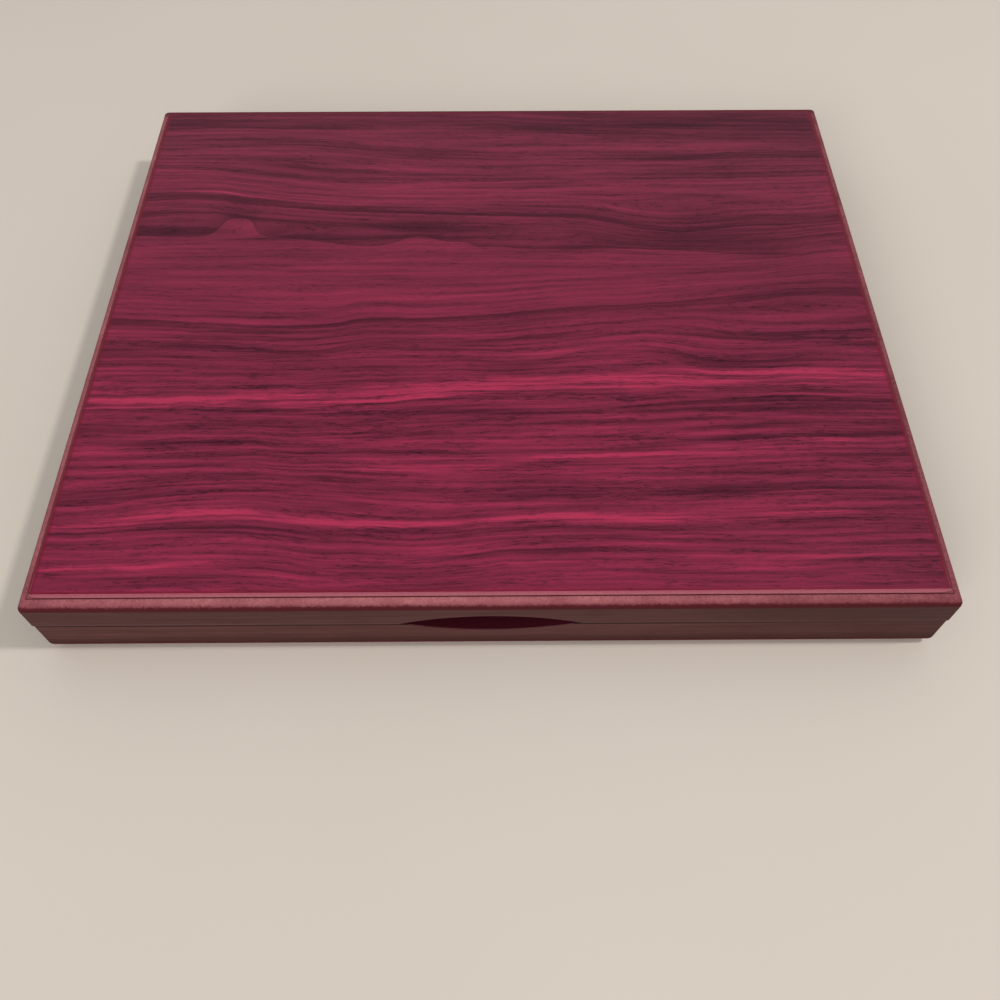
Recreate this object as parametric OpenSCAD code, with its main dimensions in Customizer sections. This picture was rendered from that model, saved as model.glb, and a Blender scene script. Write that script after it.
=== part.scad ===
// Flat display case for badges, shown closed. Millimetres, +Z up.
// The origin is the middle of the face it rests on. The front, with the finger scoop, faces -Y.
// Lid and base are two shallow shells of the same build: a routed board, four mitred rails,
// a printed sheet, a padded panel inside, and one leaf of each hinge.

/* [Case] */
// Width of the lid, side to side
case_w = 300; // [220:5:400]
// Depth of the lid, front to back
case_d = 255; // [180:5:340]
// Height of the lid's rails
lid_rail_h = 10; // [9:0.5:20]
// Height of the base's rails
base_rail_h = 13; // [12:0.5:30]
// Thickness of every rail
rail_t = 12; // [12:0.5:18]
// How far the base stands in from the lid, on each side
base_inset = 0.3; // [0.1:0.1:0.6]
// Rounding of the upright corners
corner_r = 1; // [0.5:0.1:2]
// Chamfer along both sides of the parting line
arris = 0.3; // [0.1:0.05:0.5]

/* [Boards and routed edge] */
// Thickness of the top and bottom boards
board_t = 4.25; // [3.5:0.05:8]
// Thickness of the printed sheet on each board
sheet_t = 0.25; // [0.15:0.05:0.5]
// Corner radius of the printed sheet
sheet_corner_r = 1.75; // [0.5:0.25:4]
// Radius of the quarter round
edge_r = 3.15; // [1.5:0.05:3.3]
// Height of the upright step above the quarter round
edge_step = 0.5; // [0.2:0.05:0.6]
// Width of the sanded shoulder between the step and the sheet
shoulder_w = 0.95; // [0.5:0.05:1.5]
// Fall of the shoulder from the sheet to the step
shoulder_drop = 0.2; // [0.05:0.05:0.3]

/* [Finger scoop] */
// Length of the scoop along the parting line
scoop_w = 60; // [40:2:80]
// Rise of the scoop into the lid
scoop_lid_rise = 5.4; // [3:0.1:6]
// Fall of the scoop into the base
scoop_base_rise = 5.1; // [3:0.1:6]
// Depth of the scoop behind the lid's front face
scoop_depth = 6; // [4:0.5:8]
// Chamfer round the mouth of the scoop
scoop_ease = 0.3; // [0.1:0.05:0.5]

/* [Hinges] */
// Distance between the middles of the two hinges
hinge_spread = 180; // [120:5:190]
// Length of each hinge
hinge_len = 25; // [20:1:40]
// Knuckles of each hinge, shared between its two leaves
hinge_knuckles = 5; // [3:2:7]
// Gap between neighbouring knuckles
knuckle_gap = 0.2; // [0.1:0.05:0.4]
// Thickness of the leaf metal
leaf_t = 0.8; // [0.6:0.05:1]
// Width of a leaf, from the hinge axis
leaf_w = 7.5; // [7:0.25:8]
// Corner radius of a leaf
leaf_corner_r = 1; // [0.5:0.1:2]
// Diameter of the hinge pin
pin_d = 1.7; // [1.4:0.1:2.1]
// Radial clearance of the pin in its knuckles
pin_clear = 0.05; // [0.02:0.01:0.1]
// Distance of the hinge axis from the lid's back face
axis_in = 2.6; // [2.4:0.1:3.2]
// Angle at which the lid stops
open_angle = 95; // [90:1:105]

/* [Screws and magnets] */
// Length of a hinge screw
screw_len = 7; // [5:0.5:8]
// Diameter of a screw's shank
screw_d = 1.6; // [1.2:0.1:2]
// Diameter of a screw's head
screw_head_d = 3; // [2.6:0.1:3.4]
// Diameter of a magnet
magnet_d = 8; // [5:0.5:8]
// Thickness of a magnet
magnet_t = 2; // [1:0.5:3]
// Distance between the two magnets of a shell
magnet_spread = 110; // [100:5:180]

/* [Padded panels] */
// Thickness of the foam in the base pad
pad_foam_t = 7; // [4:0.5:8]
// Thickness of the foam in the lid lining
lining_foam_t = 2.2; // [1.4:0.2:3]
// Thickness of the backing card of either panel
card_t = 1.2; // [0.8:0.1:2]
// Thickness of the cloth of either panel
cloth_t = 0.5; // [0.3:0.05:0.7]
// Rounding of the base pad's upper edge
pad_edge_r = 3.5; // [1.5:0.25:4]
// Rounding of the lid lining's edge
lining_edge_r = 1.8; // [1:0.1:1.9]
// Corner radius of either panel in plan
pad_corner_r = 2.5; // [1.5:0.25:5]
// Width of the cloth turned under the card
hem_w = 14; // [8:1:30]
// Gap between a panel and the rails round it
pad_gap = 0.4; // [0.2:0.1:1]

/* [Hidden] */
$fn = 48;
SCOOP_FN = 240;
EPS = 1;

// Fits
stop_slack = 1;
wrap_clear = 0.05;
bed_clear = 0.1;
knuckle_clear = 0.3;
seat_clear = 0.03;
screw_sink = 0.05;
magnet_sink = 0.1;
pin_head_t = 0.5;
pin_head_over = 0.35;
roll_gap = 0.2;

// A shell is [width, depth, rail height, rise of its half of the scoop].
LID = [case_w, case_d, lid_rail_h, scoop_lid_rise];
BASE = [case_w - 2 * base_inset, case_d - 2 * base_inset, base_rail_h, scoop_base_rise];

// Heights above the rest face
base_floor = sheet_t + board_t;
parting_z = base_floor + base_rail_h;
lid_ceiling = parting_z + lid_rail_h;

// Routed edge. The quarter round leaves a narrow upright band of the board under it.
edge_band = 0.2;
quarter_r = min(edge_r, board_t - shoulder_drop - edge_step - edge_band);
step_z = board_t - shoulder_drop - edge_step;
quarter_z = step_z - quarter_r;
sheet_in = quarter_r + shoulder_w;

// Hinge
axis_y = case_d / 2 - axis_in;
bevel_angle = (open_angle + stop_slack) / 2;
bore_r = pin_d / 2 + pin_clear;
knuckle_r = bore_r + leaf_t;
knuckle_pitch = hinge_len / hinge_knuckles;
leaf_root = knuckle_r + knuckle_clear;
screw_in = (leaf_root + leaf_w) / 2;
screw_pitch = hinge_len * 0.6;

// Padded panels
inner_w = BASE[0] - 2 * rail_t - 2 * pad_gap;
inner_d = BASE[1] - 2 * rail_t - 2 * pad_gap;

cloth_color = "#3a0f18";
lining_color = "#4a141f";
card_color = "#8d8478";
foam_color = "#3c3a3c";
board_color = "#8f4f52";
sheet_color = "#7c2038";
rail_color = "#4a3638";
brass_color = "#b6903f";
steel_color = "#b9b9bd";

// Where a shell lies: its local z = 0 is the parting plane, and local z grows away from it.
module above_parting() translate([0, 0, parting_z]) children();
module below_parting() translate([0, 0, parting_z]) mirror([0, 0, 1]) children();

// Plain outlines
module rounded_rect(w, d, r) {
    square([w - 2 * r, d], center = true);
    square([w, d - 2 * r], center = true);
    for (x = [-1, 1], y = [-1, 1])
        translate([x * (w / 2 - r), y * (d / 2 - r)])
            circle(r);
}

// Extrudes an outline drawn in X and Z along Y, or one drawn in Y and Z along X, about the middle.
module along_y(length) rotate([90, 0, 0]) linear_extrude(length, center = true) children();
module along_x(length) rotate([90, 0, 90]) linear_extrude(length, center = true) children();

// Boards with a quarter round, a small upright step and a sanded shoulder
module quarter_round_section(span) {
    intersection() {
        union() {
            translate([-span / 2 + quarter_r, 0])
                square([span - 2 * quarter_r, step_z]);
            for (x = [-1, 1])
                translate([x * (span / 2 - quarter_r), quarter_z])
                    circle(quarter_r);
            translate([-span / 2, 0])
                square([span, quarter_z]);
        }
        translate([-span / 2, 0])
            square([span, step_z]);
    }
}

module field_section(span) {
    foot = span / 2 - quarter_r;
    top = foot - shoulder_w;
    polygon([
        [-foot, 0], [foot, 0], [foot, board_t - shoulder_drop],
        [top, board_t], [-top, board_t], [-foot, board_t - shoulder_drop],
    ]);
}

module routed_board(w, d) {
    intersection() {
        linear_extrude(step_z) rounded_rect(w, d, corner_r);
        along_y(d + EPS) quarter_round_section(w);
        along_x(w + EPS) quarter_round_section(d);
    }
    intersection() {
        linear_extrude(board_t)
            rounded_rect(w - 2 * quarter_r, d - 2 * quarter_r, sheet_corner_r + shoulder_w);
        along_y(d) field_section(w);
        along_x(w) field_section(d);
    }
}

module shell_board(shell)
    translate([0, 0, shell[2]])
        routed_board(shell[0], shell[1]);

module shell_sheet(shell)
    translate([0, 0, shell[2] + board_t])
        linear_extrude(sheet_t)
            rounded_rect(shell[0] - 2 * sheet_in, shell[1] - 2 * sheet_in, sheet_corner_r);

// Rails, mitred at both ends. The side's angle turns the front rail to its place.
module rail_bar(length, h) {
    intersection() {
        linear_extrude(h)
            polygon([
                [-length / 2, 0], [length / 2, 0],
                [length / 2 - rail_t, rail_t], [-length / 2 + rail_t, rail_t],
            ]);
        along_x(length)
            polygon([[arris, 0], [rail_t, 0], [rail_t, h], [0, h], [0, arris]]);
    }
}

module shell_rail(shell, angle) {
    across = angle % 180 == 0;
    length = across ? shell[0] : shell[1];
    reach = across ? shell[1] : shell[0];
    intersection() {
        linear_extrude(shell[2])
            rounded_rect(shell[0], shell[1], corner_r);
        rotate([0, 0, angle])
            translate([0, -reach / 2, 0])
                rail_bar(length, shell[2]);
    }
}

// Half of the finger scoop: an arc over the parting line, with an eased mouth
function arc_radius(chord, rise) = (chord * chord / 4 + rise * rise) / (2 * rise);

module scoop_cut(shell) {
    r = arc_radius(scoop_w, shell[3]);
    face_y = -shell[1] / 2;
    back_y = -case_d / 2 + scoop_depth;
    translate([0, 0, shell[3] - r])
        rotate([-90, 0, 0]) {
            translate([0, 0, face_y - EPS])
                cylinder(h = back_y - face_y + EPS, r = r, $fn = SCOOP_FN);
            translate([0, 0, face_y - EPS])
                cylinder(h = EPS + scoop_ease, r1 = r + EPS + scoop_ease, r2 = r, $fn = SCOOP_FN);
        }
}

// Magnets, let into the faces that meet
module at_magnets()
    for (x = [-1, 1])
        translate([x * magnet_spread / 2, (rail_t - case_d) / 2, 0])
            children();

module magnet_bores()
    at_magnets()
        translate([0, 0, -EPS])
            cylinder(h = EPS + magnet_sink + magnet_t, d = magnet_d + 2 * bed_clear);

module magnets()
    at_magnets()
        translate([0, 0, magnet_sink])
            cylinder(h = magnet_t, d = magnet_d);

// The bevel across the back: the two shells' bevels meet when the lid is fully open.
module stop_bevel(shell) {
    far_y = shell[1] / 2 + EPS;
    along_x(shell[0] + 2 * EPS)
        polygon([
            [axis_y, 0], [far_y, -EPS],
            [far_y, (far_y - axis_y) * tan(bevel_angle)],
        ]);
}

// Hinge screws: a countersunk head with a crossed slot, a shank and a point
module at_screws()
    for (x = [-1, 1])
        translate([x * screw_pitch / 2, axis_y - screw_in, 0])
            children();

module screw_body(clear) {
    head_h = (screw_head_d - screw_d) / 2;
    tip_h = screw_d / 2;
    shank_r = screw_d / 2 + clear;
    translate([0, 0, screw_sink])
        cylinder(h = head_h, r1 = screw_head_d / 2 + clear, r2 = shank_r);
    translate([0, 0, screw_sink + head_h])
        cylinder(h = screw_len - head_h - tip_h, r = shank_r);
    translate([0, 0, screw_sink + screw_len - tip_h])
        cylinder(h = tip_h, r1 = shank_r, r2 = shank_r / 4);
}

module screw_seat() {
    screw_body(seat_clear);
    translate([0, 0, -EPS])
        cylinder(h = EPS + screw_sink, d = screw_head_d + 2 * seat_clear);
}

module hinge_screw() {
    slot_l = screw_head_d * 0.6;
    slot_w = screw_head_d * 0.14;
    difference() {
        screw_body(0);
        for (turn = [45, 135])
            translate([0, 0, screw_sink])
                rotate([0, 0, turn])
                    cube([slot_l, slot_w, slot_w * 2], center = true);
    }
}

// Hinge leaf: a plate let into the rail, and every second knuckle rolled round the pin
module knuckle_span(i) {
    width = knuckle_pitch - knuckle_gap;
    translate([-hinge_len / 2 + (i + 0.5) * knuckle_pitch, 0, 0])
        along_x(width)
            children();
}

module leaf_plate() {
    d = leaf_w - leaf_root;
    r = leaf_corner_r;
    translate([0, axis_y - leaf_w, 0]) {
        translate([-hinge_len / 2, r, 0])
            cube([hinge_len, d - r, leaf_t]);
        translate([-hinge_len / 2 + r, 0, 0])
            cube([hinge_len - 2 * r, r, leaf_t]);
        for (x = [-1, 1])
            translate([x * (hinge_len / 2 - r), r, 0])
                cylinder(h = leaf_t, r = r);
    }
}

module hinge_leaf(first) {
    difference() {
        union() {
            leaf_plate();
            for (i = [first : 2 : hinge_knuckles - 1])
                knuckle_span(i) {
                    translate([axis_y, 0])
                        circle(knuckle_r);
                    translate([axis_y - leaf_root, 0])
                        square([leaf_root, leaf_t]);
                }
        }
        translate([0, axis_y, 0])
            rotate([0, 90, 0])
                cylinder(h = hinge_len + EPS, r = bore_r, center = true);
        translate([-hinge_len / 2 - EPS, axis_y - knuckle_r - EPS, -roll_gap])
            cube([hinge_len + 2 * EPS, knuckle_r + EPS, roll_gap]);
        at_screws()
            screw_seat();
    }
}

module hinge_pin() {
    head_r = pin_d / 2 + pin_head_over;
    translate([0, axis_y, 0])
        rotate([0, 90, 0]) {
            cylinder(h = hinge_len, d = pin_d, center = true);
            for (side = [0, 180])
                rotate([side, 0, 0])
                    translate([0, 0, hinge_len / 2])
                        cylinder(h = pin_head_t, r1 = head_r, r2 = pin_d / 2);
        }
}

// Bed of one hinge in a back rail: leaf mortise, hollow for the knuckles, and screw holes
module hinge_bed() {
    bed_l = hinge_len + 2 * bed_clear;
    translate([-bed_l / 2, axis_y - leaf_w - bed_clear, -EPS])
        cube([bed_l, leaf_w + bed_clear, EPS + leaf_t]);
    translate([0, axis_y, 0])
        rotate([0, 90, 0])
            cylinder(h = bed_l + 2 * pin_head_t, r = knuckle_r + knuckle_clear, center = true);
    at_screws()
        screw_seat();
}

module at_hinge(side) translate([side * hinge_spread / 2, 0, 0]) children();
module at_hinges() for (side = [-1, 1]) at_hinge(side) children();

// Rails of one shell, cut for what they carry
module front_rail(shell)
    difference() {
        shell_rail(shell, 0);
        scoop_cut(shell);
        magnet_bores();
    }

module side_rail(shell, angle)
    difference() {
        shell_rail(shell, angle);
        stop_bevel(shell);
    }

module back_rail(shell)
    difference() {
        shell_rail(shell, 180);
        stop_bevel(shell);
        at_hinges() hinge_bed();
    }

// Padded panels: card, foam and a cloth drawn over both and turned under. Local z = 0 is the board.
module panel_section(span, h, r) {
    translate([-span / 2, 0])
        square([span, h - r]);
    translate([-span / 2 + r, 0])
        square([span - 2 * r, h]);
    for (x = [-1, 1])
        translate([x * (span / 2 - r), h - r])
            circle(r);
}

module panel_body(inset, h, r) {
    w = inner_w - 2 * inset;
    d = inner_d - 2 * inset;
    intersection() {
        linear_extrude(h) rounded_rect(w, d, pad_corner_r - inset);
        along_y(d + EPS) panel_section(w, h, r - inset);
        along_x(w + EPS) panel_section(d, h, r - inset);
    }
}

module panel_cover(foam_t, r) {
    stuffing = card_t + foam_t;
    difference() {
        panel_body(0, stuffing + 2 * cloth_t, r);
        translate([0, 0, cloth_t])
            panel_body(cloth_t, stuffing, r);
        translate([0, 0, -EPS])
            linear_extrude(EPS + cloth_t + card_t / 2)
                rounded_rect(inner_w - 2 * hem_w, inner_d - 2 * hem_w, pad_corner_r);
    }
}

module panel_card()
    translate([0, 0, cloth_t])
        linear_extrude(card_t)
            rounded_rect(
                inner_w - 2 * (cloth_t + wrap_clear),
                inner_d - 2 * (cloth_t + wrap_clear),
                pad_corner_r - cloth_t - wrap_clear
            );

module panel_foam(foam_t, r) {
    under = cloth_t + card_t;
    difference() {
        translate([0, 0, cloth_t])
            panel_body(cloth_t + wrap_clear, card_t + foam_t - wrap_clear, r);
        translate([-inner_w / 2, -inner_d / 2, -EPS])
            cube([inner_w, inner_d, EPS + under]);
    }
}

module on_base_floor() translate([0, 0, base_floor]) children();
module under_lid_ceiling() translate([0, 0, lid_ceiling]) mirror([0, 0, 1]) children();

// The base
module base_board() color(board_color) below_parting() shell_board(BASE);
module base_sheet() color(sheet_color) below_parting() shell_sheet(BASE);
module base_front_rail() color(rail_color) below_parting() front_rail(BASE);
module base_back_rail() color(rail_color) below_parting() back_rail(BASE);
module base_left_rail() color(rail_color) below_parting() side_rail(BASE, 270);
module base_right_rail() color(rail_color) below_parting() side_rail(BASE, 90);
module base_magnets() color(steel_color) below_parting() magnets();
module pad_card() color(card_color) on_base_floor() panel_card();
module pad_foam() color(foam_color) on_base_floor() panel_foam(pad_foam_t, pad_edge_r);
module pad_cover() color(cloth_color) on_base_floor() panel_cover(pad_foam_t, pad_edge_r);
module left_hinge_base_leaf() color(brass_color) below_parting() at_hinge(-1) hinge_leaf(0);
module right_hinge_base_leaf() color(brass_color) below_parting() at_hinge(1) hinge_leaf(0);
module left_hinge_pin() color(brass_color) above_parting() at_hinge(-1) hinge_pin();
module right_hinge_pin() color(brass_color) above_parting() at_hinge(1) hinge_pin();
module base_hinge_screws()
    color(brass_color) below_parting() at_hinges() at_screws() hinge_screw();

// The lid
module lid_board() color(board_color) above_parting() shell_board(LID);
module lid_sheet() color(sheet_color) above_parting() shell_sheet(LID);
module lid_front_rail() color(rail_color) above_parting() front_rail(LID);
module lid_back_rail() color(rail_color) above_parting() back_rail(LID);
module lid_left_rail() color(rail_color) above_parting() side_rail(LID, 270);
module lid_right_rail() color(rail_color) above_parting() side_rail(LID, 90);
module lid_magnets() color(steel_color) above_parting() magnets();
module lining_card() color(card_color) under_lid_ceiling() panel_card();
module lining_foam() color(foam_color) under_lid_ceiling() panel_foam(lining_foam_t, lining_edge_r);
module lining_cover() color(lining_color) under_lid_ceiling() panel_cover(lining_foam_t, lining_edge_r);
module left_hinge_lid_leaf() color(brass_color) above_parting() at_hinge(-1) hinge_leaf(1);
module right_hinge_lid_leaf() color(brass_color) above_parting() at_hinge(1) hinge_leaf(1);
module lid_hinge_screws()
    color(brass_color) above_parting() at_hinges() at_screws() hinge_screw();

base_board();
base_sheet();
base_front_rail();
base_back_rail();
base_left_rail();
base_right_rail();
base_magnets();
pad_card();
pad_foam();
pad_cover();
left_hinge_base_leaf();
right_hinge_base_leaf();
left_hinge_pin();
right_hinge_pin();
base_hinge_screws();
lid_board();
lid_sheet();
lid_front_rail();
lid_back_rail();
lid_left_rail();
lid_right_rail();
lid_magnets();
lining_card();
lining_foam();
lining_cover();
left_hinge_lid_leaf();
right_hinge_lid_leaf();
lid_hinge_screws();
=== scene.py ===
"""Badge display case: finishes, routed boards, padded panels, camera and light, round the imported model."""
import math
from collections import namedtuple

import bmesh
import bpy
from mathutils import Matrix, Vector, noise


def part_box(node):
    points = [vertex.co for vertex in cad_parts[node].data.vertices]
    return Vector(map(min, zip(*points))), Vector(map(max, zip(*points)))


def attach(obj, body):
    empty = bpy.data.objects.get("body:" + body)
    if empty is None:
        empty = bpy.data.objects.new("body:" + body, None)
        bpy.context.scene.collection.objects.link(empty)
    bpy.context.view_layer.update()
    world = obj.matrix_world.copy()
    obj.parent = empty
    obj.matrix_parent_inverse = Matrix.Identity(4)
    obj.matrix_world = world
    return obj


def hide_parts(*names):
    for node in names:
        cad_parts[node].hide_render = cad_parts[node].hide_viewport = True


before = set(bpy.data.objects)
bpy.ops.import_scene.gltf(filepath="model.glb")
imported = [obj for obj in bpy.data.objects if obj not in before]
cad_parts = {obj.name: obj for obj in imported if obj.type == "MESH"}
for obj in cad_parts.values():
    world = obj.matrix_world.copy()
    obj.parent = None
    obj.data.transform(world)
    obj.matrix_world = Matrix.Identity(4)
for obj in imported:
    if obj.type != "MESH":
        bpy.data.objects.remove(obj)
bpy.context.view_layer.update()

# Lengths are written in millimetres and turned into metres by MM where Blender needs them.
MM = 0.001

# Routed edge, as the case is made
QUARTER_R = 3.15
STEP_H = 0.5
SHOULDER_W = 0.95
SHOULDER_DROP = 0.2
SHEET_IN = QUARTER_R + SHOULDER_W
RIM_CORNER_R = 1.2
SHEET_CORNER_R = 1.75
SHEET_EDGE_R = 0.12


def box_mm(node):
    """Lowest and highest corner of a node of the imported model, in millimetres."""
    low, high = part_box(node)
    return low / MM, high / MM


LID_BOARD_LOW, LID_BOARD_HIGH = box_mm("lid_board")
BASE_BOARD_LOW, BASE_BOARD_HIGH = box_mm("base_board")
LID_SHEET_HIGH = box_mm("lid_sheet")[1]
BASE_SHEET_HIGH = box_mm("base_sheet")[1]
PAD_LOW, PAD_HIGH = box_mm("pad_cover")
LINING_LOW, LINING_HIGH = box_mm("lining_cover")
PARTING_Z = box_mm("lid_front_rail")[0].z


def srgb(red, green, blue):
    """A colour written in the usual 0 to 255 steps, as the linear one that shaders take."""
    steps = [channel / 255 for channel in (red, green, blue)]
    linear = [s / 12.92 if s <= 0.04045 else ((s + 0.055) / 1.055) ** 2.4 for s in steps]
    return (*linear, 1.0)


class Value:
    """A number that varies over a surface: arithmetic on it adds Math nodes to its tree."""

    def __init__(self, tree, socket):
        self.tree = tree
        self.socket = socket

    def __add__(self, other):
        return self.tree.math("ADD", self, other)

    def __radd__(self, other):
        return self.tree.math("ADD", other, self)

    def __sub__(self, other):
        return self.tree.math("SUBTRACT", self, other)

    def __rsub__(self, other):
        return self.tree.math("SUBTRACT", other, self)

    def __mul__(self, other):
        return self.tree.math("MULTIPLY", self, other)

    def __rmul__(self, other):
        return self.tree.math("MULTIPLY", other, self)

    def __truediv__(self, other):
        return self.tree.math("DIVIDE", self, other)

    def __neg__(self):
        return self.tree.math("MULTIPLY", self, -1.0)

    def __abs__(self):
        return self.tree.math("ABSOLUTE", self)


class Tree:
    """A node tree under construction, of a material or of a geometry modifier."""

    def __init__(self, node_tree):
        self.nodes = node_tree.nodes
        self.links = node_tree.links
        self.nodes.clear()

    def add(self, kind, settings=None, sockets=None, out=0):
        """Adds a node, sets it up, then fills its sockets, and returns the output asked for."""
        node = self.nodes.new(kind)
        for name, setting in (settings or {}).items():
            if name == "stops":
                set_stops(node.color_ramp, setting)
            elif name == "bends":
                set_bends(node.mapping, setting)
            else:
                setattr(node, name, setting)
        for key, value in (sockets or {}).items():
            if isinstance(value, Value):
                self.links.new(value.socket, node.inputs[key])
            else:
                node.inputs[key].default_value = value
        return Value(self, node.outputs[out]) if node.outputs else node

    def math(self, operation, *values):
        return self.add("ShaderNodeMath", {"operation": operation}, dict(enumerate(values)))

    def step(self, value, start, end):
        """0 below start and 1 above end, with a soft passage between them."""
        sockets = {0: value, 1: start, 2: end, 3: 0.0, 4: 1.0}
        return self.add("ShaderNodeMapRange", {"interpolation_type": "SMOOTHSTEP"}, sockets)

    def hump(self, value, half_width):
        """1 where the value is 0, falling to nothing a little past the half width."""
        across = value / half_width
        return self.math("EXPONENT", -(across * across))

    def vector(self, x, y, z):
        return self.add("ShaderNodeCombineXYZ", sockets={0: x, 1: y, 2: z})

    def split(self, vector):
        apart = self.add("ShaderNodeSeparateXYZ", sockets={0: vector})
        outputs = apart.socket.node.outputs
        return [Value(self, outputs[i]) for i in range(3)]

    def noise(self, vector, scale=1.0, detail=3.0, roughness=0.5, distortion=0.0):
        sockets = {
            "Vector": vector, "Scale": scale, "Detail": detail,
            "Roughness": roughness, "Distortion": distortion,
        }
        return self.add("ShaderNodeTexNoise", sockets=sockets)

    def mix(self, factor, first, second):
        """A colour between two others."""
        sockets = {0: factor, 6: first, 7: second}
        return self.add("ShaderNodeMix", {"data_type": "RGBA"}, sockets, out=2)

    def ramp(self, value, stops):
        return self.add("ShaderNodeValToRGB", {"stops": stops}, {0: value})


def set_stops(ramp, stops):
    while len(ramp.elements) < len(stops):
        ramp.elements.new(1.0)
    for element, (place, colour) in zip(ramp.elements, stops):
        element.position = place
        element.color = colour


def set_bends(mapping, bends):
    curve = mapping.curves[0]
    while len(curve.points) < len(bends):
        curve.points.new(1.0, 1.0)
    for point, place in zip(curve.points, bends):
        point.location = place
    mapping.extend = "HORIZONTAL"
    mapping.update()


class Finish(Tree):
    """A material whose colour, roughness and relief come from nodes."""

    def __init__(self, name, **plain):
        self.material = bpy.data.materials.new(name)
        self.material.use_nodes = True
        super().__init__(self.material.node_tree)
        place = self.add("ShaderNodeTexCoord", out=3)
        self.place = self.add(
            "ShaderNodeVectorMath", {"operation": "SCALE"}, {0: place, "Scale": 1 / MM}
        )
        self.x, self.y, self.z = self.split(self.place)
        self.plain = {
            key.replace("_", " ").title().replace("Ior", "IOR"): value for key, value in plain.items()
        }

    def close(self, colour, roughness, relief=None, depth=0.1, **varying):
        """Wires the shader. Relief is a height from 0 to 1 that stands for a depth in millimetres."""
        sockets = {"Base Color": colour, "Roughness": roughness}
        sockets.update({key.title(): value for key, value in varying.items()})
        if relief is not None:
            bump = {"Height": relief, "Distance": depth * MM, "Strength": 1.0}
            sockets["Normal"] = self.add("ShaderNodeBump", sockets=bump)
        sockets.update(self.plain)
        shader = self.add("ShaderNodeBsdfPrincipled", sockets=sockets)
        self.add("ShaderNodeOutputMaterial", sockets={"Surface": shader})
        return self.material


# The printed sheet: rosewood grain

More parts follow.
